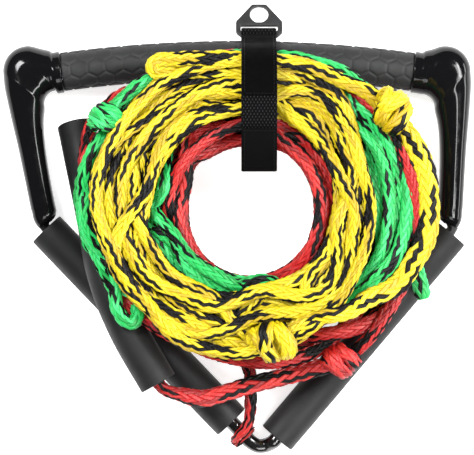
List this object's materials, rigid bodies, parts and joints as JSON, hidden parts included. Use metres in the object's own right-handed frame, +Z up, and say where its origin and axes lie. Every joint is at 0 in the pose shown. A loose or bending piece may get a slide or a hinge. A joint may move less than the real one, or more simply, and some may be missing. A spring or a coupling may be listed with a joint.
{
  "type": "tow rope handle",
  "caption": "Water sports tow handle with a bowed grip, moulded arms, a V bridle through foam floats, and its braided main line coiled in a storage strap with a hanger.",
  "frame": {"origin": "centre of the base of the handle, bridle, strap and hanger, on the surface the object lies on", "axes": "+X along the grip towards the right arm, +Y from the bridle's apex to the hanger, +Z up, towards the coil"},
  "size_m": [0.3333, 0.3209, 0.09],
  "materials": {
    "grip_rubber": "matte",
    "arm_plastic": "gloss",
    "aluminium": "satin",
    "core_foam": "matte",
    "float_foam": "matte",
    "vinyl": "gloss",
    "bridle_cord": "matte",
    "yellow_rope": "satin",
    "green_rope": "satin",
    "red_rope": "satin",
    "webbing": "matte",
    "hook_and_loop": "matte",
    "hanger_plastic": "satin"
  },
  "bodies": {
    "handle": {"handle_tube": "aluminium", "tube_foam_core": "core_foam", "grip_sleeve": "grip_rubber", "left_arm": "arm_plastic", "right_arm": "arm_plastic", "left_stop_knot": "bridle_cord", "right_stop_knot": "bridle_cord", "bridle_rope": "bridle_cord", "apex_sheath": "vinyl", "yellow_coil": "yellow_rope", "green_coil": "green_rope", "red_coil": "red_rope", "yellow_knot_upper": "yellow_rope", "yellow_knot_lower": "yellow_rope", "green_knot": "green_rope", "green_tail": "green_rope", "red_knot": "red_rope", "red_hitch": "red_rope", "red_lead": "red_rope", "float_lead": "red_rope", "float_end_knot": "red_rope", "strap_front": "webbing", "strap_back": "webbing", "strap_patch": "hook_and_loop"},
    "hanger": {"hanger": "hanger_plastic"},
    "strap_tab": {"strap_tab": "webbing", "tab_hook_patch": "hook_and_loop"},
    "left_float": {"left_float": "float_foam"},
    "right_float": {"right_float": "float_foam"},
    "main_float": {"main_float": "float_foam"}
  },
  "joints": [
    {"name": "hanger_swing", "type": "hinge", "parent": "handle", "child": "hanger", "pos_m": [0.0155, 0.1384, 0.0113], "axis": [1, 0, 0], "range_deg": [0, 100]},
    {"name": "tab_peel", "type": "hinge", "parent": "handle", "child": "strap_tab", "pos_m": [0.0152, 0.0417, 0.0652], "axis": [1, 0, 0], "range_deg": [0, 110]},
    {"name": "left_float_slide", "type": "slide", "parent": "handle", "child": "left_float", "axis": [0.6925, -0.7214, 0], "range_m": [0, 0.002]},
    {"name": "right_float_slide", "type": "slide", "parent": "handle", "child": "right_float", "axis": [-0.6461, -0.7633, 0], "range_m": [0, 0.002]},
    {"name": "main_float_slide", "type": "slide", "parent": "handle", "child": "main_float", "axis": [0.304, -0.9398, 0.1561], "range_m": [-0.004, 0.001]}
  ]
}
